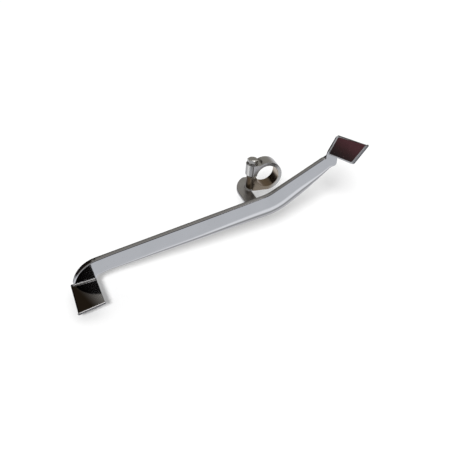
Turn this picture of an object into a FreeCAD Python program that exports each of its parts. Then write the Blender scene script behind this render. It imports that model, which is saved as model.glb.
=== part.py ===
import FreeCAD, Part
import math
import os

# Heel-and-toe gear shift lever of a small motorcycle: a pressed channel blade with a welded foot
# pad at each end, carried by a flat arm and a split clamp hub that a pinch bolt closes on the
# shift shaft. Frame: origin at the centre of the clamp bore, +X towards the heel pad, +Y along
# the shift shaft towards the engine, +Z up along the pinch bolt. All sizes are in millimetres.

V = FreeCAD.Vector

# Clamp hub and its jaws
BORE_RADIUS = 10.0
RING_RADIUS = 13.2
HUB_WIDTH = 12.0
SLOT_WIDTH = 1.8
JAW_END_X = -12.1
LOWER_JAW_END_X = -10.6
JAW_TOP = 11.0
JAW_BOTTOM = -13.2
SPOT_FACE_RADIUS = 8.6

# M5 pinch bolt with its washer
BOLT_X = -12.7
BOLT_RADIUS = 2.5
BOLT_LENGTH = 25.0
BOLT_TIP_CHAMFER = 0.7
HEAD_ACROSS_FLATS = 8.0
HEAD_HEIGHT = 3.5
HEAD_CHAMFER_DEGREES = 30.0
JAW_HOLE_RADIUS = 2.6
TAPPED_HOLE_RADIUS = 2.56
WASHER_THICKNESS = 1.0
WASHER_OUTER_RADIUS = 5.0
WASHER_INNER_RADIUS = 2.6

# Flat arm that carries the hub's lower jaw and reaches into the blade
ARM_LEFT = -25.4
ARM_RIGHT = -13.4
ARM_THICKNESS = 2.6
ARM_CURVE_RADIUS = 30.8
ARM_CURVE_START = -6.0
ARM_TAIL_START = 0.0
ARM_TAIL_RIGHT = -6.0
ARM_TIP_RADIUS = 5.0

# Pressed channel blade: its web stands in the XZ plane and its flanges point to +Y
BLADE_FRONT = -36.0
SHEET = 1.5
CHANNEL_DEPTH = 5.0
TOP_EDGE_RADIUS = 0.8
LOWER_EDGE_RADIUS = 4.0
TOE_END_X = -176.5
TOE_END_RADIUS = 24.5
TOE_NECK_X = -157.0
TOE_NECK_RADIUS = 3.5
TOE_TOP_SLOPE = 15.0
TOE_LOWER_SLOPE = 13.2
TOP_KNEE = (-10.5, -2.0)
TOP_KNEE_RADIUS = 30.0
LOWER_KNEE = (0.7, -19.8)
LOWER_KNEE_RADIUS = 50.0
UPPER_KNEE = (26.6, 0.2)
UPPER_KNEE_RADIUS = 150.0
HEEL_LOWER_SLOPE = 44.0
HEEL_TOP_CORNER = (38.0, 28.2)
HEEL_SIDE_CORNER = (39.3, 34.6)
HEEL_STRIP_LEFT = 45.3
HEEL_END_X = 48.8
HEEL_END_TOP = 47.5
FLANGE_TIP_X = 41.0
HEEL_FLANGE_END = (47.0, 20.0)

# Foot pads, each in its own frame: u runs along the joint with the blade from the near corner to
# the far one, w runs outwards to the rider, and n is the tread's normal
PAD_THICKNESS = 1.5
PAD_EDGE_RADIUS = 1.2
BEAD_RADIUS = 1.0
BEAD_SINK = 0.35
BEAD_OVERHANG = -0.4
TOE_PAD_NEAR = V(-157.8, BLADE_FRONT, -59.2)
TOE_PAD_FAR = V(-178.1, BLADE_FRONT, -62.9)
TOE_PAD_CORNERS = [(0.0, -2.5), (21.5, -2.5), (23.3, 36.4), (0.4, 32.4)]
HEEL_PAD_NEAR = V(39.4, BLADE_FRONT, 33.9)
HEEL_PAD_FAR = V(44.8, BLADE_FRONT, 50.1)
HEEL_PAD_SPLAY = 7.5
HEEL_PAD_CORNERS = [(-1.5, 0.0), (17.0, 0.0), (27.3, 37.2), (6.3, 30.8)]
FACING_THICKNESS = 0.4
FACING_INSET = 0.9
FACING_START = 1.2

# Weld beads
TOE_WELD_RADIUS = 1.3
TOE_WELD_ENDS = (0.9, 19.9)
HEEL_WELD_RADIUS = 1.1
HEEL_WELD_ENDS = (1.5, 11.0)
ARM_WELD_RADIUS = 1.3

FAR = 100.0


def at_x(point, degrees, x):
    """The point at x on the line through a point at this slope."""
    return (x, point[1] + (x - point[0]) * math.tan(math.radians(degrees)))


def rounded_wire(corners, radii, y):
    """Closed wire in the plane at y, with an arc of the given radius at each corner."""
    edges = []
    starts = []
    ends = []
    for index, corner in enumerate(corners):
        here = V(corner[0], y, corner[1])
        before = corners[index - 1]
        after = corners[(index + 1) % len(corners)]
        back = (V(before[0], y, before[1]) - here).normalize()
        ahead = (V(after[0], y, after[1]) - here).normalize()
        half = back.getAngle(ahead) / 2
        reach = radii[index] / math.tan(half)
        start = here + back * reach
        end = here + ahead * reach
        starts.append(start)
        ends.append(end)
        if radii[index]:
            centre = here + (back + ahead).normalize() * (radii[index] / math.sin(half))
            middle = centre + (here - centre).normalize() * radii[index]
            edges.append((index, Part.Arc(start, middle, end).toShape()))
    wire_edges = []
    arcs = dict(edges)
    for index in range(len(corners)):
        if index in arcs:
            wire_edges.append(arcs[index])
        following = (index + 1) % len(corners)
        wire_edges.append(Part.LineSegment(ends[index], starts[following]).toShape())
    return Part.Wire(wire_edges)


def inset_corners(corners, distance):
    """Corners of the same outline moved inwards; the outline runs anticlockwise in u, w or x, z."""
    moved = []
    for index, corner in enumerate(corners):
        before = corners[index - 1]
        after = corners[(index + 1) % len(corners)]
        into = math.atan2(corner[1] - before[1], corner[0] - before[0])
        out = math.atan2(after[1] - corner[1], after[0] - corner[0])
        turn = math.remainder(out - into, 2 * math.pi)
        across = into + turn / 2 + math.pi / 2
        step = distance / math.cos(turn / 2)
        moved.append((corner[0] + step * math.cos(across), corner[1] + step * math.sin(across)))
    return moved


def inset_radii(corners, radii, distance):
    """Arc radii of the inset outline: smaller at outer corners, larger at inner ones."""
    changed = []
    for index, corner in enumerate(corners):
        before = corners[index - 1]
        after = corners[(index + 1) % len(corners)]
        cross = (corner[0] - before[0]) * (after[1] - corner[1])
        cross -= (corner[1] - before[1]) * (after[0] - corner[0])
        if not radii[index]:
            changed.append(0.0)
        elif cross > 0:
            changed.append(max(radii[index] - distance, 0.1))
        else:
            changed.append(radii[index] + distance)
    return changed


def cylinder(radius, base, direction, length):
    return Part.makeCylinder(radius, length, base, direction)


def block(x0, x1, y0, y1, z0, z1):
    return Part.makeBox(x1 - x0, y1 - y0, z1 - z0, V(x0, y0, z0))


def blade_outline():
    """Corners and corner radii of the web, anticlockwise from below the toe end."""
    toe_lower = at_x(LOWER_KNEE, TOE_LOWER_SLOPE, TOE_NECK_X)
    toe_top = at_x(TOP_KNEE, TOE_TOP_SLOPE, TOE_END_X)
    heel_lower = at_x(UPPER_KNEE, HEEL_LOWER_SLOPE, HEEL_END_X)
    below = TOE_PAD_FAR.z - 2 * PAD_THICKNESS
    outline = [
        ((TOE_END_X, below), 0.0),
        ((TOE_NECK_X, below), 0.0),
        (toe_lower, TOE_NECK_RADIUS),
        (LOWER_KNEE, LOWER_KNEE_RADIUS),
        (UPPER_KNEE, UPPER_KNEE_RADIUS),
        (heel_lower, 0.0),
        ((HEEL_END_X, HEEL_END_TOP), 0.0),
        ((HEEL_STRIP_LEFT, HEEL_END_TOP), 0.0),
        (HEEL_SIDE_CORNER, 0.0),
        (HEEL_TOP_CORNER, 0.0),
        (TOP_KNEE, TOP_KNEE_RADIUS),
        (toe_top, TOE_END_RADIUS),
    ]
    return [corner for corner, radius in outline], [radius for corner, radius in outline]


def lies_low(edge, front):
    """True for a front edge on the blade's lower side, right of the toe neck."""
    middle = edge.valueAt((edge.FirstParameter + edge.LastParameter) / 2)
    on_front = all(abs(vertex.Y - front) < 1e-6 for vertex in edge.Vertexes)
    lower = at_x(LOWER_KNEE, TOE_LOWER_SLOPE, middle.x)[1]
    near_lower_line = TOE_NECK_X + 5 < middle.x < LOWER_KNEE[0] and abs(middle.z - lower) < 3
    return on_front and near_lower_line


def lies_high(edge, front):
    """True for a front edge on the blade's upper side, left of the upper knee."""
    middle = edge.valueAt((edge.FirstParameter + edge.LastParameter) / 2)
    on_front = all(abs(vertex.Y - front) < 1e-6 for vertex in edge.Vertexes)
    upper = at_x(TOP_KNEE, TOE_TOP_SLOPE, middle.x)[1]
    return on_front and TOE_NECK_X < middle.x < TOP_KNEE[0] and abs(middle.z - upper) < 3


def round_front(solid, front, upper_radius, lower_radius):
    """Round the long front edges; each fillet follows its tangent run of edges."""
    low = [edge for edge in solid.Edges if lies_low(edge, front)]
    solid = solid.makeFillet(lower_radius, low[:1])
    if upper_radius:
        high = [edge for edge in solid.Edges if lies_high(edge, front)]
        solid = solid.makeFillet(upper_radius, high[:1])
    return solid


def pad_frame(near, far, splay_degrees, side):
    """Origin and unit vectors u, w, n of a pad; side says which way its tread faces."""
    u = (far - near).normalize()
    outward = V(0, -1, 0)
    splay = math.radians(splay_degrees)
    w = outward * math.cos(splay) + u.cross(outward) * math.sin(splay)
    return near, u, w, u.cross(w) * side


TOE_FRAME = pad_frame(TOE_PAD_NEAR, TOE_PAD_FAR, 0.0, 1.0)
HEEL_FRAME = pad_frame(HEEL_PAD_NEAR, HEEL_PAD_FAR, HEEL_PAD_SPLAY, -1.0)


def pad_point(frame, corner, height=0.0):
    origin, u, w, n = frame
    return origin + u * corner[0] + w * corner[1] + n * height


def pad_prism(frame, corners, top, bottom):
    """Straight prism over the corners, between two heights along the tread normal."""
    points = [pad_point(frame, corner, top) for corner in corners]
    face = Part.Face(Part.makePolygon(points + points[:1]))
    return face.extrude(frame[3] * (bottom - top))


def flange_tip():
    """The upper flange runs on a little way behind the heel strip."""
    rise = HEEL_TOP_CORNER[1] - TOP_KNEE[1]
    slope = math.degrees(math.atan2(rise, HEEL_TOP_CORNER[0] - TOP_KNEE[0]))
    upper = [at_x(HEEL_TOP_CORNER, slope, x) for x in (HEEL_TOP_CORNER[0] - SHEET, FLANGE_TIP_X)]
    drop = SHEET / math.cos(math.radians(slope))
    corners = upper + [(x, z - drop) for x, z in reversed(upper)]
    face = Part.Face(rounded_wire(corners, [0.0] * len(corners), BLADE_FRONT + SHEET))
    return face.extrude(V(0, CHANNEL_DEPTH - SHEET, 0))


def make_blade():
    corners, radii = blade_outline()
    outer = Part.Face(rounded_wire(corners, radii, BLADE_FRONT)).extrude(V(0, CHANNEL_DEPTH, 0))
    outer = round_front(outer, BLADE_FRONT, TOP_EDGE_RADIUS, LOWER_EDGE_RADIUS)
    inside = inset_corners(corners, SHEET)
    inside_radii = inset_radii(corners, radii, SHEET)
    floor = BLADE_FRONT + SHEET
    pocket = Part.Face(rounded_wire(inside, inside_radii, floor)).extrude(V(0, CHANNEL_DEPTH, 0))
    pocket = round_front(pocket, floor, 0.0, LOWER_EDGE_RADIUS - SHEET)
    blade = outer.cut(pocket)
    open_end = [HEEL_TOP_CORNER, HEEL_FLANGE_END, (FAR, HEEL_FLANGE_END[1]), (FAR, FAR),
                (HEEL_TOP_CORNER[0], FAR)]
    sharp = [0.0] * len(open_end)
    heel_opening = Part.Face(rounded_wire(open_end, sharp, floor)).extrude(V(0, CHANNEL_DEPTH, 0))
    blade = blade.cut(heel_opening).fuse(flange_tip()).removeSplitter()
    below_pad = pad_prism(TOE_FRAME, [(-FAR, -FAR), (FAR, -FAR), (FAR, FAR), (-FAR, FAR)], 0.0, -FAR)
    keep_left = block(-2 * FAR, -1.5 * FAR, -FAR, FAR, -FAR, FAR)
    return blade.cut(below_pad.common(keep_left))


def make_pad(frame, corners):
    """Plate with its tread rounded at three sides and a bead along its outer end."""
    plate = pad_prism(frame, corners, 0.0, -PAD_THICKNESS)
    normal = frame[3]
    origin = frame[0]
    side_edges = []
    for edge in plate.Edges:
        on_tread = all(abs((vertex.Point - origin).dot(normal)) < 1e-6 for vertex in edge.Vertexes)
        if on_tread and not is_fold(edge, frame):
            side_edges.append(edge)
    plate = plate.makeFillet(PAD_EDGE_RADIUS, side_edges)
    near = pad_point(frame, corners[3], -BEAD_SINK)
    far = pad_point(frame, corners[2], -BEAD_SINK)
    along = (far - near).normalize()
    near = near - along * BEAD_OVERHANG
    far = far + along * BEAD_OVERHANG
    bead = cylinder(BEAD_RADIUS, near, along, (far - near).Length)
    bead = bead.fuse([Part.makeSphere(BEAD_RADIUS, near), Part.makeSphere(BEAD_RADIUS, far)])
    return plate.fuse(bead).removeSplitter()


def is_fold(edge, frame):
    """True for the pad's edge beside the blade."""
    origin, u, w, n = frame
    return all((vertex.Point - origin).dot(w) < 1.0 for vertex in edge.Vertexes)


def make_facing():
    """Thin tread facing stuck on the heel pad, inside its rounded sides and short of its bead."""
    near_start, far_start, far_end, near_end = inset_corners(HEEL_PAD_CORNERS, FACING_INSET)
    room = BEAD_RADIUS + FACING_INSET
    corners = [(near_start[0], FACING_START), (far_start[0], FACING_START),
               (far_end[0], far_end[1] - room), (near_end[0], near_end[1] - room)]
    return pad_prism(HEEL_FRAME, corners, FACING_THICKNESS, 0.0)


def lower_jaw_end(radius):
    return cylinder(radius, V(LOWER_JAW_END_X, 0, JAW_BOTTOM), V(0, 0, 1), -JAW_BOTTOM)


def make_hub():
    """Split ring with two round-ended jaws: the upper one is drilled, the lower one is tapped."""
    half = HUB_WIDTH / 2
    front = V(0, -half, 0)
    upper_jaw = cylinder(half, V(JAW_END_X, 0, 0), V(0, 0, 1), JAW_TOP)
    upper_jaw = upper_jaw.fuse(block(JAW_END_X, 0, -half, half, 0, JAW_TOP))
    lower_jaw = lower_jaw_end(half).fuse(block(LOWER_JAW_END_X, 0, -half, half, JAW_BOTTOM, 0))
    ring = cylinder(RING_RADIUS, front, V(0, 1, 0), HUB_WIDTH)
    hub = ring.fuse([upper_jaw, lower_jaw]).removeSplitter()
    hub = hub.cut(cylinder(SPOT_FACE_RADIUS, V(BOLT_X, 0, JAW_TOP), V(0, 0, 1), RING_RADIUS))
    hub = hub.cut(cylinder(BORE_RADIUS, front * 2, V(0, 1, 0), 2 * HUB_WIDTH))
    hub = hub.cut(block(-FAR, 0, -half - 1, half + 1, -SLOT_WIDTH / 2, SLOT_WIDTH / 2))
    hub = hub.cut(cylinder(JAW_HOLE_RADIUS, V(BOLT_X, 0, 0), V(0, 0, 1), FAR))
    return hub.cut(cylinder(TAPPED_HOLE_RADIUS, V(BOLT_X, 0, -FAR), V(0, 0, 1), FAR))


def make_arm(blade):
    """Plate under the lower jaw: straight in front of the hub, curved on its outer side behind it."""
    bottom = JAW_BOTTOM - ARM_THICKNESS
    straight = block(ARM_LEFT, ARM_RIGHT, BLADE_FRONT + SHEET, ARM_CURVE_START, bottom, JAW_BOTTOM)
    centre = V(ARM_LEFT + ARM_CURVE_RADIUS, ARM_CURVE_START, bottom)
    disc = cylinder(ARM_CURVE_RADIUS, centre, V(0, 0, 1), ARM_THICKNESS)
    beside = block(ARM_LEFT, ARM_RIGHT, ARM_CURVE_START, FAR, bottom, JAW_BOTTOM)
    behind = block(ARM_RIGHT, ARM_TAIL_RIGHT, ARM_TAIL_START, FAR, bottom, JAW_BOTTOM)
    curved = disc.common(beside.fuse(behind)).removeSplitter()
    tip = [edge for edge in curved.Edges if edge.BoundBox.YMin > ARM_CURVE_START + ARM_CURVE_RADIUS / 2
           and edge.BoundBox.ZLength > ARM_THICKNESS / 2]
    curved = curved.makeFillet(ARM_TIP_RADIUS, tip)
    return straight.fuse(curved).removeSplitter().cut(blade)


def make_bolt():
    """Hexagon head bolt; its threaded length is a plain cylinder of the thread's outer size."""
    seat = JAW_TOP + WASHER_THICKNESS
    corner_radius = HEAD_ACROSS_FLATS / 2 / math.cos(math.pi / 6)
    points = []
    for side in range(7):
        angle = math.pi / 3 * side + math.pi / 6
        points.append(V(BOLT_X + corner_radius * math.cos(angle), corner_radius * math.sin(angle), seat))
    head = Part.Face(Part.makePolygon(points)).extrude(V(0, 0, HEAD_HEIGHT))
    flat_radius = HEAD_ACROSS_FLATS / 2 * 0.95
    crown_height = (corner_radius - flat_radius) * math.tan(math.radians(HEAD_CHAMFER_DEGREES))
    cone_base = HEAD_HEIGHT - crown_height
    envelope = cylinder(corner_radius, V(BOLT_X, 0, seat), V(0, 0, 1), cone_base)
    crown = Part.makeCone(corner_radius, flat_radius, crown_height, V(BOLT_X, 0, seat + cone_base),
                          V(0, 0, 1))
    head = head.common(envelope.fuse(crown))
    tip = seat - BOLT_LENGTH
    shank = cylinder(BOLT_RADIUS, V(BOLT_X, 0, tip + BOLT_TIP_CHAMFER), V(0, 0, 1),
                     BOLT_LENGTH - BOLT_TIP_CHAMFER)
    point = Part.makeCone(BOLT_RADIUS - BOLT_TIP_CHAMFER, BOLT_RADIUS, BOLT_TIP_CHAMFER,
                          V(BOLT_X, 0, tip), V(0, 0, 1))
    return head.fuse([shank, point]).removeSplitter()


def make_washer():
    base = V(BOLT_X, 0, JAW_TOP)
    ring = cylinder(WASHER_OUTER_RADIUS, base, V(0, 0, 1), WASHER_THICKNESS)
    return ring.cut(cylinder(WASHER_INNER_RADIUS, base, V(0, 0, 1), WASHER_THICKNESS))


def bead_along(start, end, radius, neighbours):
    """Weld bead between two points, trimmed where it sinks into the pieces that it joins."""
    bead = cylinder(radius, start, end - start, (end - start).Length)
    for piece in neighbours:
        bead = bead.cut(piece)
    return bead


def make_toe_weld(blade, toe_pad):
    """Bead in the corner between the web and the toe pad's tread."""
    start, end = [pad_point(TOE_FRAME, (along, 0.0)) for along in TOE_WELD_ENDS]
    return bead_along(start, end, TOE_WELD_RADIUS, [blade, toe_pad])


def make_heel_weld(blade, heel_pad):
    """Bead in the corner between the heel pad's underside and the web's front."""
    start, end = [pad_point(HEEL_FRAME, (along, 0.0), -PAD_THICKNESS) for along in HEEL_WELD_ENDS]
    bead = bead_along(start, end, HEEL_WELD_RADIUS, [blade, heel_pad])
    return bead.common(block(-FAR, FAR, -FAR, BLADE_FRONT, -FAR, FAR))


def make_arm_blade_weld(blade, arm):
    """Bead across the top of the arm, inside the blade's channel."""
    back = BLADE_FRONT + SHEET
    return bead_along(V(ARM_LEFT, back, JAW_BOTTOM), V(ARM_RIGHT, back, JAW_BOTTOM), ARM_WELD_RADIUS,
                      [blade, arm])


def make_arm_hub_weld(hub):
    """Bead on top of the arm, round the lower jaw's end."""
    half = HUB_WIDTH / 2
    ring = Part.makeTorus(half, ARM_WELD_RADIUS, V(LOWER_JAW_END_X, 0, JAW_BOTTOM), V(0, 0, 1))
    ring = ring.common(block(-FAR, ARM_RIGHT, -FAR, FAR, JAW_BOTTOM, 0))
    return ring.cut(lower_jaw_end(half)).cut(hub)


def save(name, shape):
    if len(shape.Solids) == 1:
        shape = shape.Solids[0]
    box = shape.BoundBox
    print(name, "valid", shape.isValid(), "solids", len(shape.Solids), "volume", round(shape.Volume, 1),
          [round(value, 1) for value in (box.XMin, box.XMax, box.YMin, box.YMax, box.ZMin, box.ZMax)])
    shape.exportStep("parts/" + name + ".step")


def main():
    os.makedirs("parts", exist_ok=True)
    blade = make_blade()
    hub = make_hub()
    arm = make_arm(blade)
    toe_pad = make_pad(TOE_FRAME, TOE_PAD_CORNERS).cut(blade)
    heel_pad = make_pad(HEEL_FRAME, HEEL_PAD_CORNERS).cut(blade)
    save("blade", blade)
    save("clamp_hub", hub)
    save("bracket_arm", arm)
    save("toe_pad", toe_pad)
    save("heel_pad", heel_pad)
    save("heel_pad_facing", make_facing().cut(heel_pad).cut(blade))
    save("toe_pad_weld", make_toe_weld(blade, toe_pad))
    save("heel_pad_weld", make_heel_weld(blade, heel_pad))
    save("arm_blade_weld", make_arm_blade_weld(blade, arm))
    save("arm_hub_weld", make_arm_hub_weld(hub))
    save("pinch_bolt", make_bolt())
    save("bolt_washer", make_washer())


main()
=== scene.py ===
import math

import bmesh
import bpy
from mathutils import Matrix, Vector


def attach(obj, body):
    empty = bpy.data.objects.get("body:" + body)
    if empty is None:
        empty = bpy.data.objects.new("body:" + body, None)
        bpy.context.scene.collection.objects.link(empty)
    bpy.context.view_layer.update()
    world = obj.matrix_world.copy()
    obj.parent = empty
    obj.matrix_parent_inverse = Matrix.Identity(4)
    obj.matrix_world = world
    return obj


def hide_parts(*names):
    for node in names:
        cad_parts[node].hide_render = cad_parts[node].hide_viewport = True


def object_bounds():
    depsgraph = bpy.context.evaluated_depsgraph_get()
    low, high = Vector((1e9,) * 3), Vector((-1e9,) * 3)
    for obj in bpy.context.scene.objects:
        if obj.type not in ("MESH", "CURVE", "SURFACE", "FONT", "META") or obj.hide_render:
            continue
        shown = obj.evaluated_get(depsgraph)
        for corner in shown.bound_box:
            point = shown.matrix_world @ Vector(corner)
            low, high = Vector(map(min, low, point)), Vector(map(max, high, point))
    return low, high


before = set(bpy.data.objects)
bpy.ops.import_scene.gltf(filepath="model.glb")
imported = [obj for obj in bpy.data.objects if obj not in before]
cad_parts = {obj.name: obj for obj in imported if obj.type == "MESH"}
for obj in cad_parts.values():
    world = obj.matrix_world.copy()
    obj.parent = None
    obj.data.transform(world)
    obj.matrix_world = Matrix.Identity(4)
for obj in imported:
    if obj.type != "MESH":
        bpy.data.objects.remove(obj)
CAD_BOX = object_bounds()

MM = 0.001

# Blade, in millimetres in the part's frame: X towards the heel pad, Z up, the web's face at FRONT
FRONT = -36.0
SHEET = 1.5
DEPTH = 5.0
TOP_ROLL = 0.8
TOE_END_X = -176.5
TOE_NECK_X = -157.0
TOE_END_RADIUS = 24.5
TOE_NECK_RADIUS = 3.5
TOE_TOP_SLOPE = 15.0
TOE_LOWER_SLOPE = 13.2
TOP_KNEE = (-10.5, -2.0)
TOP_KNEE_RADIUS = 30.0
LOWER_KNEE = (0.7, -19.8)
LOWER_KNEE_RADIUS = 50.0
UPPER_KNEE = (26.6, 0.2)
UPPER_KNEE_RADIUS = 150.0
HEEL_LOWER_SLOPE = 44.0
HEEL_TOP_CORNER = (38.0, 28.2)
HEEL_SIDE_CORNER = (39.3, 34.6)
HEEL_END_X = 48.8
HEEL_END_TOP = 47.5
HEEL_STRIP_LEFT = 45.3
FLANGE_TIP_X = 41.0
STRIP_LIP = 0.3
CAD_ROLL = 4.0
ROLL_DROP = 0.505
ROLL_REACH = 0.39
RIM_RISE = 0.77
FLANGE_SHIFT = 0.74
# The top flange is this much shallower than in CAD past the toe, and this much more past the knee
SLIM_TOE = 0.8
SLIM_HEEL = 0.7
# The flange's end behind the heel strip: how far it is raised, how thick it is, how much shallower
FLANGE_TIP_RISE = 1.0
FLANGE_TIP_THICKNESS = 1.7
FLANGE_TIP_SHORT = 1.5

# Where each pad meets the blade, in X and Z, and the direction out through its bead
TOE_NEAR = (-157.8, -59.2)
TOE_FAR = (-178.1, -62.9)
TOE_LIP_OUT = (0.169, -0.985, 0.031)
HEEL_NEAR = (39.4, 33.9)
HEEL_FAR = (44.8, 50.1)
HEEL_LIP_OUT = (0.026, -0.948, -0.316)


# ---------------------------------------------------------------- materials

def new_material(name):
    material = bpy.data.materials.new(name)
    material.use_nodes = True
    tree = material.node_tree
    return material, tree, tree.nodes["Principled BSDF"]


def node(tree, kind, inputs=None, **settings):
    """New shader node. An input is a value, or the output that is linked to it."""
    made = tree.nodes.new(kind)
    for key, value in settings.items():
        setattr(made, key, value)
    for key, value in (inputs or {}).items():
        if isinstance(value, bpy.types.NodeSocket):
            tree.links.new(value, made.inputs[key])
        else:
            made.inputs[key].default_value = value
    return made


def ramp(tree, factor, stops):
    made = node(tree, "ShaderNodeValToRGB", {0: factor})
    elements = made.color_ramp.elements
    while len(elements) < len(stops):
        elements.new(0.5)
    for element, (position, colour) in zip(elements, stops):
        element.position = position
        element.color = (*colour, 1.0)
    return made.outputs["Color"]


def grey(value):
    return (value, value, value)


def noise(tree, place, scale, detail, roughness=0.5):
    return node(tree, "ShaderNodeTexNoise", {"Vector": place, "Scale": scale, "Detail": detail,
                                             "Roughness": roughness}).outputs["Fac"]


def smooth_share(tree, vector, axis, low, high):
    """Share from 0 to 1 as a vector's length along an axis goes from low to high."""
    along = node(tree, "ShaderNodeVectorMath", {0: vector, 1: axis}, operation="DOT_PRODUCT")
    return node(tree, "ShaderNodeMapRange", {"Value": along.outputs["Value"], "From Min": low,
                                             "From Max": high},
                interpolation_type="SMOOTHSTEP").outputs[0]


def slab(tree, place, axis, low, high):
    """Share from 0 to 1 along an axis of the object, between two distances in mm."""
    return smooth_share(tree, place, axis, low * MM, high * MM)


def both(tree, first, second):
    return node(tree, "ShaderNodeMath", {0: first, 1: second}, operation="MULTIPLY").outputs[0]


# The painted marks are placed by position. They are painted reflections and painted shade, which stand in
# for what the plating mirrors, and each gives its share and its colour.

def lower_jaw_painted_reflection(tree, place):
    """Painted warm-brown reflection below the slot, on the jaw's side."""
    below = slab(tree, place, (0.0, 0.0, -1.0), 0.4, 1.4)
    left = slab(tree, place, (-0.9, 0.0, 0.43), -13.0, -6.0)
    return both(tree, below, left), (0.50, 0.42, 0.33)


def jaw_end_painted_reflection(tree, place):
    """Painted dark-brown reflection at the end of the lower jaw."""
    below = slab(tree, place, (0.0, 0.0, -1.0), 0.6, 1.2)
    end = slab(tree, place, (-1.0, 0.0, 0.0), 14.0, 15.4)
    return both(tree, below, end), (0.25, 0.21, 0.17)


def bore_painted_reflection(tree, place):
    """Painted warm reflection on the bore's wall."""
    across = node(tree, "ShaderNodeVectorMath", {0: place, 1: (1.0, 0.0, 1.0)},
                  operation="MULTIPLY").outputs[0]
    radius = node(tree, "ShaderNodeVectorMath", {0: across}, operation="LENGTH").outputs["Value"]
    share = node(tree, "ShaderNodeMapRange", {"Value": radius, "From Min": 10.35 * MM,
                                              "From Max": 10.05 * MM}).outputs[0]
    return share, (0.95, 0.84, 0.70)


def rim_painted_reflection(tree, place):
    """Painted dark reflection along the rims of the blade's flanges."""
    rim = FRONT + DEPTH
    return slab(tree, place, (0.0, 1.0, 0.0), rim - 2.0, rim - 1.0), (0.16, 0.15, 0.14)


def toe_painted_reflection(tree, place):
    """Painted dark-brown reflection on the toe tread, darker towards its far side, up to its bead."""
    across = slab(tree, place, (-0.97, -0.24, 0.0), 164.0, 181.0)
    inside = slab(tree, place, tuple(-part for part in TOE_LIP_OUT), -38.0, -37.4)
    return both(tree, across, inside), (0.07, 0.05, 0.03)


def lip_painted_reflections(tree, place):
    """Painted dark-grey reflection on the outer side of both pads' beads."""
    heel = slab(tree, place, HEEL_LIP_OUT, 52.0, 52.5)
    toe = slab(tree, place, TOE_LIP_OUT, 39.5, 39.75)
    at_toe = slab(tree, place, (-1.0, 0.0, 0.0), 100.0, 101.0)
    at_heel = slab(tree, place, (1.0, 0.0, 0.0), 0.0, 1.0)
    share = node(tree, "ShaderNodeMath", {0: both(tree, heel, at_heel), 1: both(tree, toe, at_toe)},
                 operation="MAXIMUM").outputs[0]
    return share, (0.28, 0.28, 0.29)


def chrome(name, colour, dull, roughness, scratch=0.02, tint=0.04, stretch=(1.0, 1.0, 1.0), painted_marks=()):
    """Polished plating: faint blotches in colour, cloudy roughness, hairline scratches, and painted
    reflections and shade placed by position.
    """
    material, tree, shader = new_material(name)
    shader.inputs["Metallic"].default_value = 1.0
    place = node(tree, "ShaderNodeTexCoord").outputs["Object"]
    cloud = noise(tree, place, 60.0, 4.0, 0.55)
    blotch = ramp(tree, cloud, [(0.30, tuple(part * (1 - tint) for part in colour)), (0.72, colour)])
    speck = ramp(tree, noise(tree, place, 900.0, 3.0), [(0.70, grey(0.0)), (0.78, grey(1.0))])
    base = node(tree, "ShaderNodeMix", {0: speck, 6: blotch, 7: (*dull, 1.0)}, data_type="RGBA").outputs[2]
    # Painted reflections and painted shade are multiplied into the base colour here.
    for painted_mark in painted_marks:
        share, shade = painted_mark(tree, place)
        base = node(tree, "ShaderNodeMix", {0: share, 6: base, 7: (*shade, 1.0)}, data_type="RGBA",
                    blend_type="MULTIPLY").outputs[2]
    tree.links.new(base, shader.inputs["Base Color"])
    spread = node(tree, "ShaderNodeMapRange", {"Value": cloud, "From Min": 0.3, "From Max": 0.75,
                                               "To Min": roughness[0], "To Max": roughness[1]})
    hair_place = node(tree, "ShaderNodeMapping", {"Vector": place, "Rotation": (0.2, 0.35, 0.5),
                                                  "Scale": tuple(700 * s for s in stretch)})
    hair = noise(tree, hair_place.outputs[0], 1.0, 5.0, 0.7)
    lines = ramp(tree, hair, [(0.56, grey(0.0)), (0.66, grey(1.0))])
    rough = node(tree, "ShaderNodeMath", {0: lines, 1: 0.06, 2: spread.outputs[0]},
                 operation="MULTIPLY_ADD")
    tree.links.new(rough.outputs[0], shader.inputs["Roughness"])
    dents = noise(tree, place, 120.0, 2.0)
    height = node(tree, "ShaderNodeMath", {0: lines, 1: 0.12, 2: dents}, operation="MULTIPLY_ADD")
    bump = node(tree, "ShaderNodeBump", {"Height": height.outputs[0], "Strength": scratch,
                                         "Distance": 0.0006})
    tree.links.new(bump.outputs[0], shader.inputs["Normal"])
    return material


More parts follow.
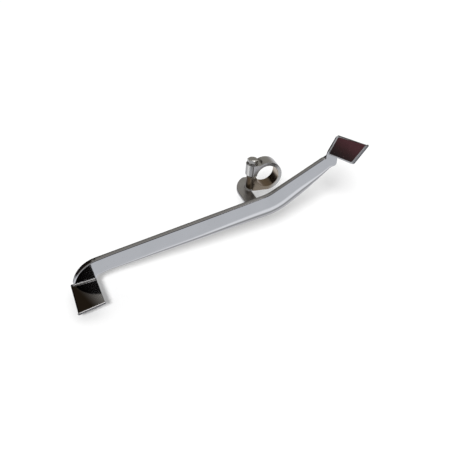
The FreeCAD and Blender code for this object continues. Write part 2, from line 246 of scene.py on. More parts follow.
def red_facing():
    """Dark red, with painted shade that deepens it towards its lower end, and small pale specks."""
    material, tree, shader = new_material("facing_red")
    place = node(tree, "ShaderNodeTexCoord").outputs["Object"]
    # Painted shade: this share darkens the facing towards its lower end; the noise adds random tone.
    share = slab(tree, place, (0.0, 0.0, 1.0), 33.0, 58.0)
    cloud = noise(tree, place, 140.0, 5.0)
    tone_and_painted_shade = node(tree, "ShaderNodeMath", {0: cloud, 1: 0.35, 2: share},
                 operation="MULTIPLY_ADD").outputs[0]
    colour = ramp(tree, tone_and_painted_shade, [(0.15, (0.0030, 0.0010, 0.0011)), (0.55, (0.018, 0.0050, 0.0055)),
                                (1.0, (0.040, 0.0115, 0.0145))])
    specks = noise(tree, place, 1500.0, 2.0)
    worn = ramp(tree, specks, [(0.70, grey(0.0)), (0.76, grey(1.0))])
    tree.links.new(node(tree, "ShaderNodeMix", {0: worn, 6: colour, 7: (0.16, 0.09, 0.09, 1.0)},
                        data_type="RGBA").outputs[2], shader.inputs["Base Color"])
    rough = node(tree, "ShaderNodeMapRange", {"Value": cloud, "From Min": 0.3, "From Max": 0.7,
                                              "To Min": 0.16, "To Max": 0.34})
    tree.links.new(rough.outputs[0], shader.inputs["Roughness"])
    shader.inputs["Specular IOR Level"].default_value = 0.25
    bump = node(tree, "ShaderNodeBump", {"Height": specks, "Strength": 0.05, "Distance": 0.0003})
    tree.links.new(bump.outputs[0], shader.inputs["Normal"])
    return material


def make_materials():
    made = {}
    # The rim, toe, lip, jaw and bore marks are painted reflections and shade, multiplied into the plating's
    # colour.
    made["blade_chrome"] = chrome("blade_chrome", (0.78, 0.785, 0.80), (0.55, 0.55, 0.56), (0.05, 0.10),
                                  stretch=(0.12, 1.0, 2.2), painted_marks=[rim_painted_reflection])
    made["pad_chrome"] = chrome("pad_chrome", (0.76, 0.76, 0.77), (0.5, 0.5, 0.5), (0.05, 0.11),
                                stretch=(1.0, 0.15, 1.0), painted_marks=[toe_painted_reflection, lip_painted_reflections])
    made["hub_chrome"] = chrome("hub_chrome", (0.74, 0.73, 0.71), (0.45, 0.44, 0.42), (0.14, 0.24),
                                scratch=0.05, stretch=(1.0, 0.3, 1.0),
                                painted_marks=[lower_jaw_painted_reflection, jaw_end_painted_reflection, bore_painted_reflection])
    made["arm_plate"] = chrome("arm_plate", (0.72, 0.71, 0.70), (0.42, 0.41, 0.40), (0.30, 0.42),
                               scratch=0.06, tint=0.08, stretch=(0.3, 1.0, 1.0))
    made["weld_chrome"] = chrome("weld_chrome", (0.72, 0.72, 0.73), (0.4, 0.4, 0.4), (0.10, 0.2),
                                 scratch=0.12)
    made["bolt_steel"] = chrome("bolt_steel", (0.72, 0.71, 0.68), (0.42, 0.4, 0.38), (0.16, 0.3),
                                scratch=0.06)
    # The washer's steel is darker than the bolt's. Part of this is a duller finish, and part is painted
    # shade for the dark band under the bolt head.
    made["washer_steel"] = chrome("washer_steel", (0.42, 0.41, 0.4), (0.2, 0.19, 0.18), (0.25, 0.4),
                                  scratch=0.08)
    made["facing_red"] = red_facing()
    return made


MATERIALS = make_materials()


# ---------------------------------------------------------------- mesh helpers

def finish_object(name, mesh, slot, nodes, body="lever"):
    thing = bpy.data.objects.new(name, mesh)
    bpy.context.scene.collection.objects.link(thing)
    mesh.materials.append(MATERIALS[slot])
    for face in mesh.polygons:
        face.use_smooth = True
    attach(thing, body)
    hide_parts(*nodes)
    return thing


def soften(thing, width, degrees=40.0, segments=2):
    """Rounds the sharp edges a little and keeps large flat faces flat in the shading."""
    bevel = thing.modifiers.new("edge", "BEVEL")
    bevel.width = width * MM
    bevel.segments = segments
    bevel.limit_method = "ANGLE"
    bevel.angle_limit = math.radians(degrees)
    bevel.harden_normals = True
    weighted = thing.modifiers.new("shade", "WEIGHTED_NORMAL")
    weighted.keep_sharp = True
    return thing


def repaired(mesh, merge=0.0):
    """The mesh with its faces turned outwards, after points closer than a distance in mm are merged."""
    work = bmesh.new()
    work.from_mesh(mesh)
    if merge:
        bmesh.ops.remove_doubles(work, verts=work.verts, dist=merge * MM)
        bmesh.ops.dissolve_degenerate(work, edges=work.edges, dist=merge * MM)
    bmesh.ops.recalc_face_normals(work, faces=work.faces)
    work.to_mesh(mesh)
    work.free()
    return mesh


def hoop(place, side, other, radius, count):
    """Ring of points round a place, in the plane of two unit directions."""
    return [tuple(place + side * radius * math.cos(2 * math.pi * k / count)
                  + other * radius * math.sin(2 * math.pi * k / count)) for k in range(count)]


def loft(rings, cap=True):
    """Mesh through closed rings of equal length in mm, with a face over each end if cap is set."""
    count = len(rings[0])
    points = [Vector(p) * MM for ring in rings for p in ring]
    faces = []
    for row in range(len(rings) - 1):
        for i in range(count):
            j = (i + 1) % count
            faces.append((row * count + i, row * count + j, (row + 1) * count + j, (row + 1) * count + i))
    mesh = bpy.data.meshes.new("loft")
    if cap:
        faces.append(tuple(reversed(range(count))))
        faces.append(tuple((len(rings) - 1) * count + i for i in range(count)))
    mesh.from_pydata(points, [], faces)
    return repaired(mesh)


# ---------------------------------------------------------------- blade

def at_x(point, degrees, x):
    return (x, point[1] + (x - point[0]) * math.tan(math.radians(degrees)))


def rounded_path(corners, radii, arc_step=4.0):
    """Points along an open path in X and Z, with an arc at each inner corner."""
    points = [Vector(corners[0])]
    for index in range(1, len(corners) - 1):
        here = Vector(corners[index])
        back = (Vector(corners[index - 1]) - here).normalized()
        ahead = (Vector(corners[index + 1]) - here).normalized()
        half = back.angle(ahead) / 2
        radius = radii[index]
        if not radius:
            points.append(here)
            continue
        reach = radius / math.tan(half)
        centre = here + (back + ahead).normalized() * (radius / math.sin(half))
        start = here + back * reach - centre
        turn = math.pi - 2 * half
        side = 1.0 if back.cross(ahead) < 0 else -1.0
        steps = max(2, int(math.degrees(turn) / arc_step))
        for step in range(steps + 1):
            points.append(centre + Matrix.Rotation(side * turn * step / steps, 2) @ start)
    points.append(Vector(corners[-1]))
    dense = [points[0]]
    for a, b in zip(points, points[1:]):
        pieces = max(1, math.ceil((b - a).length))
        dense += [a.lerp(b, piece / pieces) for piece in range(1, pieces + 1)]
    return dense


def sample(points, distances):
    """Places at these distances along a path, and the path's whole length."""
    lengths = [0.0]
    for a, b in zip(points, points[1:]):
        lengths.append(lengths[-1] + (b - a).length)
    places = []
    for distance in distances:
        distance = min(max(distance, 0.0), lengths[-1])
        index = max(i for i in range(len(points) - 1) if lengths[i] <= distance + 1e-9)
        share = (distance - lengths[index]) / (lengths[index + 1] - lengths[index])
        places.append(points[index].lerp(points[index + 1], share))
    return places, lengths[-1]


def directions(places):
    made = []
    for index in range(len(places)):
        before = places[max(index - 1, 0)]
        after = places[min(index + 1, len(places) - 1)]
        made.append((after - before).normalized())
    return made


def edge_profile(radius, depth, steps=8):
    """Pairs (inwards, backwards) from the web round a flange to its rim, outside then inside."""
    inner = max(radius - SHEET, 0.2)
    centre = max(radius, SHEET + inner)

    def run(r, c):
        stop = math.pi / 2 if c <= depth else math.acos(max(-1.0, min(1.0, (c - depth) / r)))
        count = steps if c <= depth else steps + 1
        pairs = []
        for step in range(count + 1):
            angle = stop * step / count
            pairs.append((c - r * math.sin(angle), c - r * math.cos(angle)))
        if c <= depth:
            pairs.append((c - r, depth))
        return pairs

    outside = run(radius, radius)
    inside = run(inner, centre)
    return outside, inside


def smooth_step(value, low, high):
    share = min(max((value - low) / (high - low), 0.0), 1.0)
    return share * share * (3 - 2 * share)


def lower_roll(x):
    """Radius of the lower edge's roll: small at the toe, large from the knee to the heel."""
    growth = 4.5 * smooth_step(x, -150, -80) + 9.5 * smooth_step(x, -90, 0)
    return 1.8 + growth - 12.5 * smooth_step(x, 18, 48)


def roll_rise(radius):
    """How far above its sharp corner the seen edge of a roll lies; a large roll ends at the rim."""
    if radius * ROLL_REACH < DEPTH:
        return ROLL_DROP * radius
    side = radius - math.sqrt(radius * radius - (radius - DEPTH) ** 2)
    return side + RIM_RISE * DEPTH


def blade_edges():
    """The blade's upper and lower edges as paths in X and Z, from the toe to the heel."""
    toe_lower = at_x(LOWER_KNEE, TOE_LOWER_SLOPE, TOE_NECK_X)
    toe_top = at_x(TOP_KNEE, TOE_TOP_SLOPE, TOE_END_X)
    heel_lower = at_x(UPPER_KNEE, HEEL_LOWER_SLOPE, HEEL_END_X)
    upper = rounded_path(
        [(TOE_END_X, -70.0), toe_top, TOP_KNEE, HEEL_TOP_CORNER, HEEL_SIDE_CORNER,
         (HEEL_STRIP_LEFT, HEEL_END_TOP)],
        [0, TOE_END_RADIUS, TOP_KNEE_RADIUS, 1.0, 4.0, 0], 3.0)
    lower = rounded_path(
        [(TOE_NECK_X, -66.0), toe_lower, LOWER_KNEE, UPPER_KNEE, heel_lower,
         (HEEL_END_X, HEEL_END_TOP)],
        [0, TOE_NECK_RADIUS, LOWER_KNEE_RADIUS, UPPER_KNEE_RADIUS, 3.0, 0], 3.0)
    return upper, lower


def path_distance(points, test):
    """Distance along the path to the first point that passes the test."""
    travelled = 0.0
    for a, b in zip(points, points[1:]):
        if test(b):
            return travelled + (b - a).length
        travelled += (b - a).length
    return travelled


def make_blade():
    upper, lower = blade_edges()
    pad_slope = (TOE_FAR[1] - TOE_NEAR[1]) / (TOE_FAR[0] - TOE_NEAR[0])

    def above_pad(p):
        return p.y > TOE_NEAR[1] + (p.x - TOE_NEAR[0]) * pad_slope - 0.6

    marks_upper = [path_distance(upper, above_pad), path_distance(upper, lambda p: p.x > -158.0),
                   path_distance(upper, lambda p: p.x > HEEL_TOP_CORNER[0] - 0.8)]
    marks_lower = [path_distance(lower, above_pad), path_distance(lower, lambda p: p.x > -154.0),
                   path_distance(lower, lambda p: p.x > HEEL_END_X - 2.2)]
    marks_upper.append(sample(upper, [0])[1])
    marks_lower.append(sample(lower, [0])[1])
    counts = [22, 170, 20]
    at_upper, at_lower = [], []
    for part, count in enumerate(counts):
        last = 1 if part == len(counts) - 1 else 0
        for step in range(count + last):
            share = step / count
            at_upper.append(marks_upper[part] + share * (marks_upper[part + 1] - marks_upper[part]))
            at_lower.append(marks_lower[part] + share * (marks_lower[part + 1] - marks_lower[part]))
    tops = sample(upper, at_upper)[0]
    bottoms = sample(lower, at_lower)[0]
    top_way = directions(tops)
    bottom_way = directions(bottoms)
    rings = []
    for index in range(len(tops)):
        top, bottom = tops[index], bottoms[index]
        out_top = Vector((-top_way[index].y, top_way[index].x))
        out_bottom = Vector((bottom_way[index].y, -bottom_way[index].x))
        to_heel_top = at_upper[index] - marks_upper[2]
        to_heel_bottom = at_lower[index] - marks_lower[2]
        slimmer = SLIM_TOE * smooth_step(top.x, -165, -140) + SLIM_HEEL * smooth_step(top.x, -50, 20)
        slimmer *= 1.0 - smooth_step(to_heel_top, -1.2, 0.6)
        top = top + out_top * slimmer * FLANGE_SHIFT
        top_depth = DEPTH - slimmer
        top_depth -= (DEPTH - SHEET - STRIP_LIP) * smooth_step(to_heel_top, -0.4, 0.6)
        bottom_depth = DEPTH - (DEPTH - SHEET - STRIP_LIP) * smooth_step(to_heel_bottom, -2.5, 0.0)
        top_radius = TOP_ROLL - 0.3 * smooth_step(to_heel_top, -3.0, 1.0)
        roll = lower_roll(bottom.x)
        roll = roll + (0.6 - roll) * smooth_step(to_heel_bottom, -3.0, 1.0)
        drop = 0.0 if index < counts[0] else roll_rise(roll) - roll_rise(CAD_ROLL)
        drop *= 1.0 - smooth_step(to_heel_bottom, -6.0, 0.0)
        drop *= smooth_step(bottom.x, -154.5, -146.0)
        bottom = bottom + out_bottom * drop
        upper_out, upper_in = edge_profile(top_radius, top_depth)
        lower_out, lower_in = edge_profile(roll, bottom_depth)

        def place(corner, outward, pair):
            flat = corner - outward * pair[0]
            return (flat.x, FRONT + pair[1], flat.y)

        ring = [place(top, out_top, pair) for pair in reversed(upper_out)]
        first = Vector(ring[-1])
        last = Vector(place(bottom, out_bottom, lower_out[0]))
        ring += [tuple(first.lerp(last, k / 4)) for k in (1, 2, 3)]
        ring += [place(bottom, out_bottom, pair) for pair in lower_out]
        ring += [place(bottom, out_bottom, pair) for pair in reversed(lower_in)]
        first = Vector(ring[-1])
        last = Vector(place(top, out_top, upper_in[0]))
        ring += [tuple(first.lerp(last, k / 4)) for k in (1, 2, 3)]
        ring += [place(top, out_top, pair) for pair in upper_in]
        rings.append(ring)
    mesh = loft(rings)
    mesh.set_sharp_from_angle(angle=math.radians(40))
    finish_object("blade_channel", mesh, "blade_chrome", ["blade"])


def make_flange_tip():
    """The top flange's end, which runs on a little way behind the heel strip."""
    slope = (HEEL_TOP_CORNER[1] - TOP_KNEE[1]) / (HEEL_TOP_CORNER[0] - TOP_KNEE[0])
    upper = [(x, HEEL_TOP_CORNER[1] + FLANGE_TIP_RISE + slope * (x - HEEL_TOP_CORNER[0]))
             for x in (HEEL_TOP_CORNER[0] - 1.0, FLANGE_TIP_X)]
    outline = upper + [(x, z - FLANGE_TIP_THICKNESS) for x, z in reversed(upper)]
    tip = prism(outline, FRONT + SHEET, FRONT + DEPTH - FLANGE_TIP_SHORT, "Y")
    soften(finish_object("flange_tip", tip, "blade_chrome", ["blade"]), 0.2)


# ---------------------------------------------------------------- solid helpers

def temporary(mesh):
    thing = bpy.data.objects.new("temporary", mesh)
    bpy.context.scene.collection.objects.link(thing)
    return thing


def applied(thing, tools=()):
    """Mesh of a temporary object with its modifiers applied; it and its tools are removed."""
    bpy.context.view_layer.update()
    graph = bpy.context.evaluated_depsgraph_get()
    made = bpy.data.meshes.new_from_object(thing.evaluated_get(graph))
    for used in [thing, *tools]:
        bpy.data.objects.remove(used)
    return made


def combined(base, steps):
    """Mesh of base after the boolean steps [(operation, mesh)]."""
    thing = temporary(base)
    tools = []
    for operation, mesh in steps:
        tool = temporary(mesh)
        tools.append(tool)
        cut = thing.modifiers.new("cut", "BOOLEAN")
        cut.operation = operation
        cut.solver = "EXACT"
        cut.object = tool
    return repaired(applied(thing, tools), 0.004)


def prism(outline, low, high, axis="Z"):
    """Prism over an outline, between two heights along Z or two places along Y."""
    if axis == "Z":
        return loft([[(x, y, low) for x, y in outline], [(x, y, high) for x, y in outline]])
    return loft([[(x, low, z) for x, z in outline], [(x, high, z) for x, z in outline]])


def circle(x, y, radius, count=96, start=0.0, stop=360.0):
    """Points round a circle; a part of a circle includes both of its ends."""
    whole = abs(stop - start) >= 360.0
    steps = count if whole else count + 1
    return [(x + radius * math.cos(math.radians(start + (stop - start) * k / count)),
             y + radius * math.sin(math.radians(start + (stop - start) * k / count)))
            for k in range(steps)]


def rounded_rectangle_end(x_end, x_flat, half):
    """Outline with a round end of radius half at x_end and a straight end at x_flat."""
    return circle(x_end, 0.0, half, 48, 90, 270) + [(x_flat, -half), (x_flat, half)]


# ---------------------------------------------------------------- hub, arm and bolt

BORE_RADIUS = 10.0
RING_RADIUS = 13.2
HUB_HALF = 6.0
SLOT = 0.9
UPPER_END_X = -12.1
LOWER_END_X = -10.6
JAW_TOP = 11.0
JAW_BOTTOM = -13.2
SPOT_FACE_RADIUS = 8.6
BOLT_X = -12.7
HOLE_RADIUS = 2.6
ARM_LEFT = -25.4
ARM_RIGHT = -13.4
ARM_CURVE_RADIUS = 30.8
ARM_CURVE_START = -6.0
ARM_TAIL_START = 0.0
ARM_TAIL_RIGHT = -6.0
ARM_TIP_RADIUS = 5.0
ARM_THICKNESS = 2.6
WASHER = (2.6, 5.0, 1.0)
HEAD_FLATS = 8.0
HEAD_HEIGHT = 3.5
HEAD_CROWN = 0.55
BOLT_LENGTH = 25.0
PLAIN_LENGTH = 2.0
THREAD_RADIUS = 2.5
THREAD_DEPTH = 0.42
TIP_RADIUS = 0.6
PITCH = 0.8


def make_hub():
    ring = prism(circle(0, 0, RING_RADIUS, 128), -HUB_HALF, HUB_HALF, "Y")
    upper = prism(rounded_rectangle_end(UPPER_END_X, 0.0, HUB_HALF), 0.0, JAW_TOP)
    lower = prism(rounded_rectangle_end(LOWER_END_X, 0.0, HUB_HALF), JAW_BOTTOM, 0.0)
    steps = [
        ("UNION", upper),
        ("UNION", lower),
        ("DIFFERENCE", prism(circle(BOLT_X, 0, SPOT_FACE_RADIUS, 96), JAW_TOP, JAW_TOP + 9)),
        ("DIFFERENCE", prism(circle(0, 0, BORE_RADIUS, 128), -9, 9, "Y")),
        ("DIFFERENCE", prism([(-30, -9), (0, -9), (0, 9), (-30, 9)], -SLOT, SLOT)),
        ("DIFFERENCE", prism(circle(BOLT_X, 0, HOLE_RADIUS, 48), -20, 20)),
    ]
    thing = finish_object("split_hub", combined(ring, steps), "hub_chrome", ["clamp_hub"])
    return soften(thing, 0.45, 35.0, 3)


def make_arm():
    centre = ARM_LEFT + ARM_CURVE_RADIUS
    across = ARM_TAIL_RIGHT - ARM_TIP_RADIUS - centre
    back = math.sqrt((ARM_CURVE_RADIUS - ARM_TIP_RADIUS) ** 2 - across ** 2)
    turn = math.degrees(math.atan2(back, across))
    tip = circle(centre + across, ARM_CURVE_START + back, ARM_TIP_RADIUS, 16, 0, turn)
    side = circle(centre, ARM_CURVE_START, ARM_CURVE_RADIUS, 30, turn, 180)
    outline = [(ARM_LEFT, FRONT + SHEET), (ARM_RIGHT, FRONT + SHEET), (ARM_RIGHT, ARM_TAIL_START),
               (ARM_TAIL_RIGHT, ARM_TAIL_START)] + tip + side[1:]
    mesh = prism(outline, JAW_BOTTOM - ARM_THICKNESS, JAW_BOTTOM)
    thing = finish_object("flat_arm", mesh, "hub_chrome", ["bracket_arm"])
    # The arm keeps the hub's slot and is rougher than the hub
    thing.data.materials[0] = MATERIALS["arm_plate"]
    return soften(thing, 0.5, 35.0, 3)


def lathe(profile, x, y, count=64):
    """Mesh from a closed (radius, height) profile turned about an upright axis."""
    rings = []
    for step in range(count):
        angle = 2 * math.pi * step / count
        rings.append([(x + r * math.cos(angle), y + r * math.sin(angle), z) for r, z in profile])
    return repaired(loft(rings + rings[:1], cap=False), 0.001)


def make_washer():
    inner, outer, thick = WASHER
    low, high, edge = JAW_TOP, JAW_TOP + thick, 0.15
    profile = [(inner, low + edge), (inner + edge, low), (outer - edge, low), (outer, low + edge),
               (outer, high - edge), (outer - edge, high), (inner + edge, high), (inner, high - edge)]
    thing = finish_object("flat_washer", lathe(profile, BOLT_X, 0.0), "washer_steel", ["bolt_washer"],
                          "washer")
    return soften(thing, 0.05, 60.0, 1)


def make_bolt_head(seat):
    corner = HEAD_FLATS / 2 / math.cos(math.pi / 6)
    hexagon = [(BOLT_X + corner * math.cos(math.pi / 3 * k + math.pi / 6),
                corner * math.sin(math.pi / 3 * k + math.pi / 6)) for k in range(6)]
    head = prism(hexagon, seat, seat + HEAD_HEIGHT)
    flat = corner - HEAD_CROWN / math.tan(math.radians(30))
    rim = circle(BOLT_X, 0, corner + 0.01, 96)
    envelope = loft([[(x, y, seat - 1) for x, y in rim],
                     [(x, y, seat + HEAD_HEIGHT - HEAD_CROWN) for x, y in rim],
                     [(x, y, seat + HEAD_HEIGHT) for x, y in circle(BOLT_X, 0, flat, 96)]])
    made = combined(head, [("INTERSECT", envelope)])
    thing = finish_object("hexagon_head", made, "bolt_steel", ["pinch_bolt"], "bolt")
    soften(thing, 0.18, 25.0, 2)


def make_bolt_shank(seat):
    """Helical thread with a pointed tip, and a plain length under the head."""
    tip = seat - BOLT_LENGTH
    sides = 36
    levels = int(BOLT_LENGTH / PITCH * 8)
    rings = [[(x, y, tip) for x, y in circle(BOLT_X, 0.0, TIP_RADIUS, sides)]]
    for level in range(levels + 1):
        height = BOLT_LENGTH * level / levels
        ring = []
        for k in range(sides):
            wave = (height / PITCH - k / sides) % 1.0
            radius = THREAD_RADIUS - THREAD_DEPTH * abs(2 * wave - 1)
            radius = min(radius, 1.9 + height)
            if height > BOLT_LENGTH - PLAIN_LENGTH:
                radius = THREAD_RADIUS - 0.05
            angle = 2 * math.pi * k / sides
            ring.append((BOLT_X + radius * math.cos(angle), radius * math.sin(angle), tip + height))
        rings.append(ring)
    finish_object("threaded_shank", loft(rings), "bolt_steel", ["pinch_bolt"], "bolt")


# ---------------------------------------------------------------- foot pads

PAD_THICKNESS = 1.5
BEAD_RADIUS = 1.0
BEAD_SINK = 0.35
TOE_CORNERS = [(0.0, -2.4), (21.5, -2.4), (23.3, 36.4), (0.4, 32.4)]
HEEL_SPLAY = 7.5
HEEL_CORNERS = [(-1.5, 0.0), (17.0, 0.0), (27.3, 37.2), (6.3, 30.8)]


class PadFrame:
    """Place on a pad: u along the blade joint, w outwards, n along the tread's normal."""

    def __init__(self, near, far, splay, side):
        self.origin = Vector((near[0], FRONT, near[1]))
        self.u = (Vector((far[0], FRONT, far[1])) - self.origin).normalized()
        outward = Vector((0, -1, 0))
        angle = math.radians(splay)
        self.w = outward * math.cos(angle) + self.u.cross(outward) * math.sin(angle)
        self.n = self.u.cross(self.w) * side

    def at(self, u, w, n=0.0):
        return self.origin + self.u * u + self.w * w + self.n * n


TOE = PadFrame(TOE_NEAR, TOE_FAR, 0.0, 1.0)
HEEL = PadFrame(HEEL_NEAR, HEEL_FAR, HEEL_SPLAY, -1.0)


def inset(corners, distance):
    """Corners of the outline whose sides lie this far inside those of another."""
    moved = []
    for index, corner in enumerate(corners):
        before = Vector(corners[index - 1])
        here = Vector(corner)
        after = Vector(corners[(index + 1) % len(corners)])
        first = (here - before).normalized()
        second = (after - here).normalized()
        normal_a = Vector((-first.y, first.x))
        normal_b = Vector((-second.y, second.x))
        across = (normal_a + normal_b).normalized()
        moved.append(tuple(here + across * (distance / across.dot(normal_a))))
    return moved


def capsule(start, end, radius, count=24):
    """Round bar with ball ends."""
    along = (end - start).normalized()
    side = along.orthogonal().normalized()
    other = along.cross(side)
    stations = [(start - along * radius * math.cos(a), radius * math.sin(a))
                for a in (math.radians(d) for d in (8, 25, 45, 65))]
    stations += [(start.lerp(end, k / 12), radius) for k in range(13)]
    stations += [(end + along * radius * math.cos(a), radius * math.sin(a))
                 for a in (math.radians(d) for d in (65, 45, 25, 8))]
    return loft([hoop(place, side, other, r, count) for place, r in stations])


def plate(pad, corners, edge_radii, corner_radii):
    """Flat pad plate. edge_radii round the four tread edges, corner_radii its four corners."""
    points = [tuple(pad.at(u, w, n) * MM) for n in (0.0, -PAD_THICKNESS) for u, w in corners]
    faces = [(0, 1, 2, 3), (7, 6, 5, 4)]
    faces += [(k, 4 + k, 4 + (k + 1) % 4, (k + 1) % 4) for k in range(4)]
    mesh = bpy.data.meshes.new("plate")
    mesh.from_pydata(points, [], faces)
    widest = max(edge_radii + corner_radii)
    weights = {}
    for k in range(4):
        after = (k + 1) % 4
        weights[frozenset((k, after))] = edge_radii[k] / widest
        weights[frozenset((k, 4 + k))] = corner_radii[k] / widest
        weights[frozenset((4 + k, 4 + after))] = 0.2 / widest
    stored = mesh.attributes.new("bevel_weight_edge", "FLOAT", "EDGE")
    for edge in mesh.edges:
        stored.data[edge.index].value = weights[frozenset(edge.vertices)]
    thing = temporary(repaired(mesh))
    bevel = thing.modifiers.new("round", "BEVEL")
    bevel.limit_method = "WEIGHT"
    bevel.width = widest * MM
    bevel.segments = 6
    return applied(thing)


def make_pad(name, pad, corners, edge_radii, corner_radii, bead_ends, cad_node):
    near = pad.at(*corners[3], -BEAD_SINK)
    far = pad.at(*corners[2], -BEAD_SINK)
    along = (far - near).normalized()
    near = near + along * bead_ends[0]
    far = far - along * bead_ends[1]
    mesh = combined(plate(pad, corners, edge_radii, corner_radii),
                    [("UNION", capsule(near, far, BEAD_RADIUS))])
    thing = finish_object(name, mesh, "pad_chrome", [cad_node])
    weighted = thing.modifiers.new("shade", "WEIGHTED_NORMAL")
    weighted.keep_sharp = True
    return thing


def make_facing():
    low_near, low_far, high_far, high_near = inset(HEEL_CORNERS, 0.7)
    corners = [(low_near[0] + 0.4, 1.3), (low_far[0], 3.0), (high_far[0], high_far[1] - BEAD_RADIUS),
               (high_near[0] + 0.4, high_near[1] - BEAD_RADIUS)]
    outline = []
    for index, corner in enumerate(corners):
        here = Vector(corner)
        back = (Vector(corners[index - 1]) - here).normalized()
        ahead = (Vector(corners[(index + 1) % 4]) - here).normalized()
        reach = 1.4
        for k in range(7):
            t = k / 6
            outline.append((here + back * reach) * (1 - t) ** 2 + here * 2 * t * (1 - t)
                           + (here + ahead * reach) * t ** 2)
    rings = [[tuple(HEEL.at(p.x, p.y, n)) for p in outline] for n in (-0.05, 0.4)]
    thing = finish_object("heel_facing", loft(rings), "facing_red", ["heel_pad_facing"])
    return soften(thing, 0.3, 40.0, 3)


# ---------------------------------------------------------------- welds

def weld_bead(name, places, radius, cad_node, ripple=0.9, count=20):
    """Bead along a list of places, with the shallow ripples that a weld leaves."""
    rings = []
    travelled = 0.0
    for index, place in enumerate(places):
        before = places[max(index - 1, 0)]
        after = places[min(index + 1, len(places) - 1)]
        along = (after - before).normalized()
        travelled += (place - before).length
        side = along.cross(Vector((0.31, 0.22, 0.93))).normalized()
        other = along.cross(side)
        ends = min(index, len(places) - 1 - index)
        size = radius * (0.94 + 0.06 * math.cos(2 * math.pi * travelled / ripple))
        size *= (0.35, 0.7, 0.9)[ends] if ends < 3 else 1.0
        rings.append(hoop(place, side, other, size, count))
    return finish_object(name, loft(rings), "weld_chrome", [cad_node])


def straight(start, end, step=0.15):
    count = max(8, int((end - start).length / step))
    return [start.lerp(end, k / count) for k in range(count + 1)]


def make_welds():
    weld_bead("toe_weld", straight(TOE.at(0.9, 0.0), TOE.at(19.9, 0.0)), 1.3, "toe_pad_weld")
    under = -PAD_THICKNESS
    weld_bead("heel_weld", straight(HEEL.at(1.5, 0.0, under), HEEL.at(11.0, 0.0, under)), 1.1,
              "heel_pad_weld")
    back = FRONT + SHEET
    weld_bead("arm_blade_bead", straight(Vector((ARM_LEFT + 0.4, back, JAW_BOTTOM)),
                                         Vector((ARM_RIGHT - 0.4, back, JAW_BOTTOM))), 1.3, "arm_blade_weld")
    arc = circle(LOWER_END_X, 0.0, HUB_HALF, 90, 115, 245)
    weld_bead("arm_hub_bead", [Vector((x, y, JAW_BOTTOM)) for x, y in arc], 1.3, "arm_hub_weld")


make_blade()
make_flange_tip()
make_hub()
make_arm()
make_washer()
make_bolt_head(JAW_TOP + WASHER[2])
make_bolt_shank(JAW_TOP + WASHER[2])
make_pad("toe_tread", TOE, TOE_CORNERS, (0.5, 1.2, 0.9, 0.4), (0.2, 0.6, 1.2, 0.8), (0.45, 0.45),
         "toe_pad")
make_pad("heel_tread", HEEL, HEEL_CORNERS, (1.1, 0.9, 0.9, 0.6), (0.3, 2.6, 0.6, 2.6), (2.0, 0.45),
         "heel_pad")
make_facing()
make_welds()


# ---------------------------------------------------------------- camera, floor, light

CAMERA_ANGLES = (-22.33, 32.51, 4.52)
CAMERA_TARGET = (-33.51, 0.0, -48.83)
CAMERA_DISTANCE = 798.24
FLOOR_GAP = 8.0
FLOOR_SIZE = 12.0


def make_camera():
    """Camera at its azimuth, elevation and roll; gives its back, right and up directions."""
    data = bpy.data.cameras.new("camera")
    data.lens = 72.0
    data.sensor_width = 36.0
    data.clip_start = 0.01
    camera = bpy.data.objects.new("camera", data)
    bpy.context.scene.collection.objects.link(camera)
    azimuth, elevation, roll = (math.radians(value) for value in CAMERA_ANGLES)
    back = Vector((math.sin(azimuth) * math.cos(elevation), -math.cos(azimuth) * math.cos(elevation),
                   math.sin(elevation)))
    right = Vector((math.cos(azimuth), math.sin(azimuth), 0.0))
    up = back.cross(right)
    tilted_right = math.cos(roll) * right + math.sin(roll) * up
    tilted_up = math.cos(roll) * up - math.sin(roll) * right
    turn = Matrix((tilted_right, tilted_up, back)).transposed().to_4x4()
    target = Vector(CAMERA_TARGET) * MM
    camera.matrix_world = Matrix.Translation(target + back * CAMERA_DISTANCE * MM) @ turn
    bpy.context.scene.camera = camera
    return back, tilted_right, tilted_up


def lobe(tree, direction, axis, inner, outer, colour, below):
    """Mixes a soft round patch into the surroundings; inner and outer are half angles in degrees."""
    share = smooth_share(tree, direction, tuple(Vector(axis).normalized()),
                         math.cos(math.radians(outer)), math.cos(math.radians(inner)))
    return node(tree, "ShaderNodeMix", {0: share, 6: below, 7: (*colour, 1.0)},
                data_type="RGBA").outputs[2]


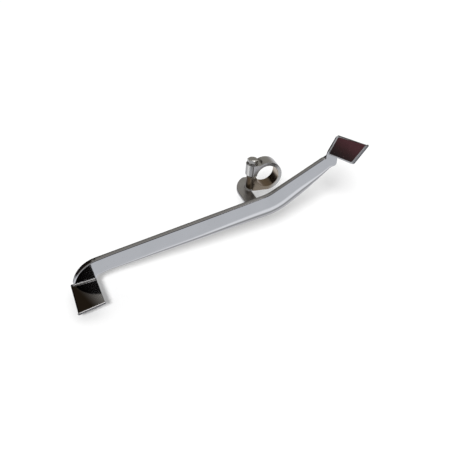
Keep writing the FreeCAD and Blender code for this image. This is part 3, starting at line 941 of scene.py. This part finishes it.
def make_world():
    """Surroundings with light and dark patches, set for what the chrome mirrors to the camera.

    Diffuse rays see an even grey, later bounces a paler patch, and the camera itself plain white.
    """
    world = bpy.data.worlds.new("studio")
    bpy.context.scene.world = world
    world.use_nodes = True
    tree = world.node_tree
    direction = node(tree, "ShaderNodeTexCoord").outputs["Generated"]
    height = node(tree, "ShaderNodeSeparateXYZ", {0: direction}).outputs["Z"]
    level = node(tree, "ShaderNodeMapRange", {"Value": height, "From Min": -1.0,
                                              "From Max": 1.0}).outputs[0]
    sky = ramp(tree, level, [(0.0, (0.55, 0.56, 0.58)), (0.44, (0.55, 0.565, 0.60)),
                             (0.49, (0.50, 0.50, 0.51)), (0.53, (0.20, 0.185, 0.165)),
                             (0.80, (0.20, 0.19, 0.175)), (1.0, (0.34, 0.33, 0.32))])
    lobes = [
        ((-0.55, 0.78, 0.33), 15, 23, (0.010, 0.007, 0.005)),
        ((-0.52, 0.83, -0.02), 12, 22, (0.012, 0.010, 0.010)),
        ((-0.215, 0.77, 0.60), 0.8, 2.4, (0.012, 0.010, 0.010)),
        ((0.36, 0.78, 0.54), 8, 24, (0.25, 0.24, 0.22)),
        ((0.20, -0.74, 0.64), 28, 50, (0.008, 0.007, 0.007)),
        ((0.32, -0.93, 0.12), 5, 13, (1.25, 1.22, 1.24)),
        ((0.50, -0.10, 0.86), 6, 16, (1.8, 1.8, 1.8)),
        ((0.19, -0.05, 0.98), 10, 18, (2.2, 2.15, 2.15)),
        ((-0.90, -0.10, -0.42), 10, 36, (0.85, 0.86, 0.88)),
        ((0.32, 0.54, -0.78), 10, 76, (0.26, 0.26, 0.26)),
        ((0.32, -0.576, -0.752), 5, 14, (0.76, 0.77, 0.80)),
        ((0.52, -0.47, -0.71), 7, 16, (0.84, 0.85, 0.88)),
    ]
    colour = sky
    for axis, inner, outer, patch in lobes:
        colour = lobe(tree, direction, axis, inner, outer, patch, colour)
    path = node(tree, "ShaderNodeLightPath")
    again = node(tree, "ShaderNodeMath", {0: path.outputs["Ray Depth"], 1: 1.5}, operation="GREATER_THAN")
    second = lobe(tree, direction, (0.28, 0.78, -0.56), 24, 58, (0.62, 0.62, 0.65), colour)
    colour = node(tree, "ShaderNodeMix", {0: again.outputs[0], 6: colour, 7: second},
                  data_type="RGBA").outputs[2]
    colour = node(tree, "ShaderNodeMix", {0: path.outputs["Is Diffuse Ray"], 6: colour,
                                          7: (0.55, 0.55, 0.55, 1.0)}, data_type="RGBA").outputs[2]
    colour = node(tree, "ShaderNodeMix", {0: path.outputs["Is Camera Ray"], 6: colour,
                                          7: (1.0, 1.0, 1.0, 1.0)}, data_type="RGBA").outputs[2]
    tree.links.new(colour, tree.nodes["Background"].inputs["Color"])


def make_floor():
    low = CAD_BOX[0].z - FLOOR_GAP * MM
    size = FLOOR_SIZE
    mesh = bpy.data.meshes.new("floor")
    mesh.from_pydata([(-size, -size, low), (size, -size, low), (size, size, low), (-size, size, low)], [],
                     [(0, 1, 2, 3)])
    floor = bpy.data.objects.new("floor", mesh)
    bpy.context.scene.collection.objects.link(floor)
    material, tree, shader = new_material("floor_white")
    shader.inputs["Base Color"].default_value = (0.9, 0.9, 0.9, 1.0)
    shader.inputs["Roughness"].default_value = 1.0
    shader.inputs["Specular IOR Level"].default_value = 0.0
    mesh.materials.append(material)
    floor.visible_glossy = False


def make_key(back, right, up):
    towards = (back + up * 0.06 - right * 0.075).normalized()
    data = bpy.data.lights.new("key", "SUN")
    data.angle = math.radians(11.0)
    data.energy = 3.4
    light = bpy.data.objects.new("key", data)
    bpy.context.scene.collection.objects.link(light)
    light.rotation_mode = "QUATERNION"
    light.rotation_quaternion = (-towards).to_track_quat("-Z", "Y")
    light.visible_glossy = False


bpy.context.scene.view_settings.view_transform = "Standard"
make_world()
make_floor()
make_key(*make_camera())
